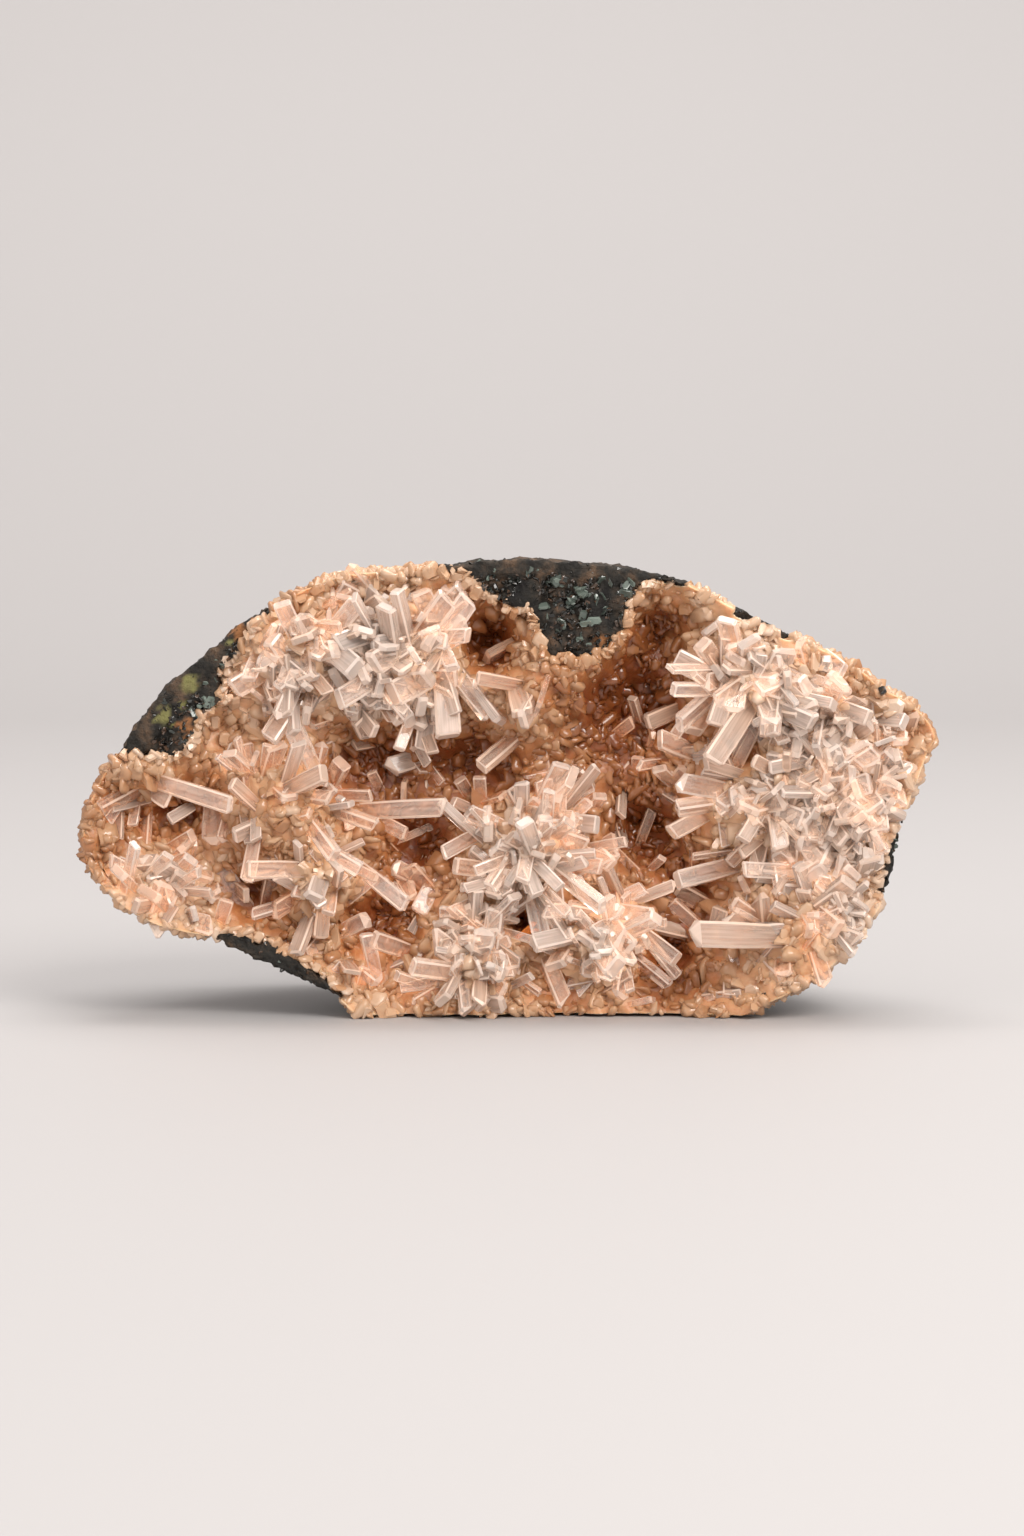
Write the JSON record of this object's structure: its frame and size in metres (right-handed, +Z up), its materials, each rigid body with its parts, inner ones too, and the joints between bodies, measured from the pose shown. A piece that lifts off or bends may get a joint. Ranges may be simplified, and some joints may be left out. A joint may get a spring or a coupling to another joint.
{
  "type": "heulandite cluster",
  "caption": "Half of a dark basalt nodule standing on its flat foot, its open side lined with peach crust and sprays of pale, blunt prismatic crystals.",
  "frame": {"origin": "middle of the bounding box's base, on the flat foot", "axes": "+X along the long side, to the right as seen from the crystal side; +Y away from the crystal side, to the rounded back; +Z up"},
  "size_m": [0.1222, 0.047, 0.0662],
  "materials": {
    "basalt": "matt, near-black, pitted broken rock",
    "crystal": "glassy translucent crystals on a peach druse"
  },
  "bodies": {
    "root": {"basalt_matrix": "basalt", "crystal_crust": "crystal"}
  },
  "joints": []
}
